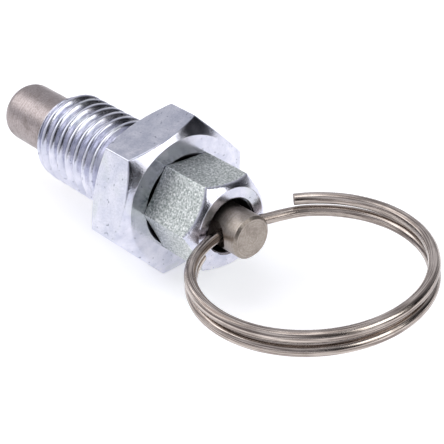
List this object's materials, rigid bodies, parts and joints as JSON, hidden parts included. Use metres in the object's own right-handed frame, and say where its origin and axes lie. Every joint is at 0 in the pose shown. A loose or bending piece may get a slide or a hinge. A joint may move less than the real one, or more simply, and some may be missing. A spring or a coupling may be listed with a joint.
{
  "type": "spring plunger",
  "caption": "Index plunger: a threaded hexagon-ended sleeve with a lock nut, holding a sprung round-nosed pin that a split pull ring draws back.",
  "frame": {"origin": "on the sleeve's axis, in the lock nut's clamp face, which seats on the plate the sleeve is screwed into", "axes": "+X along the sleeve's axis from the pin's nose towards the pull ring, +Z square to the plane the pull ring lies in, Y along the pin's cross hole"},
  "size_m": [0.07, 0.0282, 0.0196],
  "materials": {
    "zinc_plate": "bright zinc plate on steel, slightly bluish",
    "pin_steel": "plain turned steel, satin, grey-brown",
    "ring_wire": "drawn stainless spring wire, polished",
    "spring_wire": "drawn spring wire"
  },
  "bodies": {
    "sleeve": {"sleeve": "zinc_plate"},
    "lock_nut": {"lock_nut": "zinc_plate"},
    "spring": {"spring": "spring_wire"},
    "plunger": {"plunger_pin": "pin_steel"},
    "ring": {"pull_ring": "ring_wire"}
  },
  "joints": [
    {"name": "lock_nut_turn", "type": "hinge", "parent": "sleeve", "child": "lock_nut", "pos_m": [0, 0, 0], "axis": [1, 0, 0], "continuous": true},
    {"name": "plunger_turn", "type": "hinge", "parent": "sleeve", "child": "spring", "pos_m": [0, 0, 0], "axis": [1, 0, 0], "continuous": true},
    {"name": "plunger_pull", "type": "slide", "parent": "spring", "child": "plunger", "axis": [1, 0, 0], "range_m": [0, 0.0103], "stiffness_N_per_m": 1920, "springref_m": -0.0055, "deforming": ["spring"]},
    {"name": "ring_swing", "type": "hinge", "parent": "plunger", "child": "ring", "pos_m": [0.01595, 0, -0.00003], "axis": [0, 1, 0], "range_deg": [-25, 25]}
  ]
}
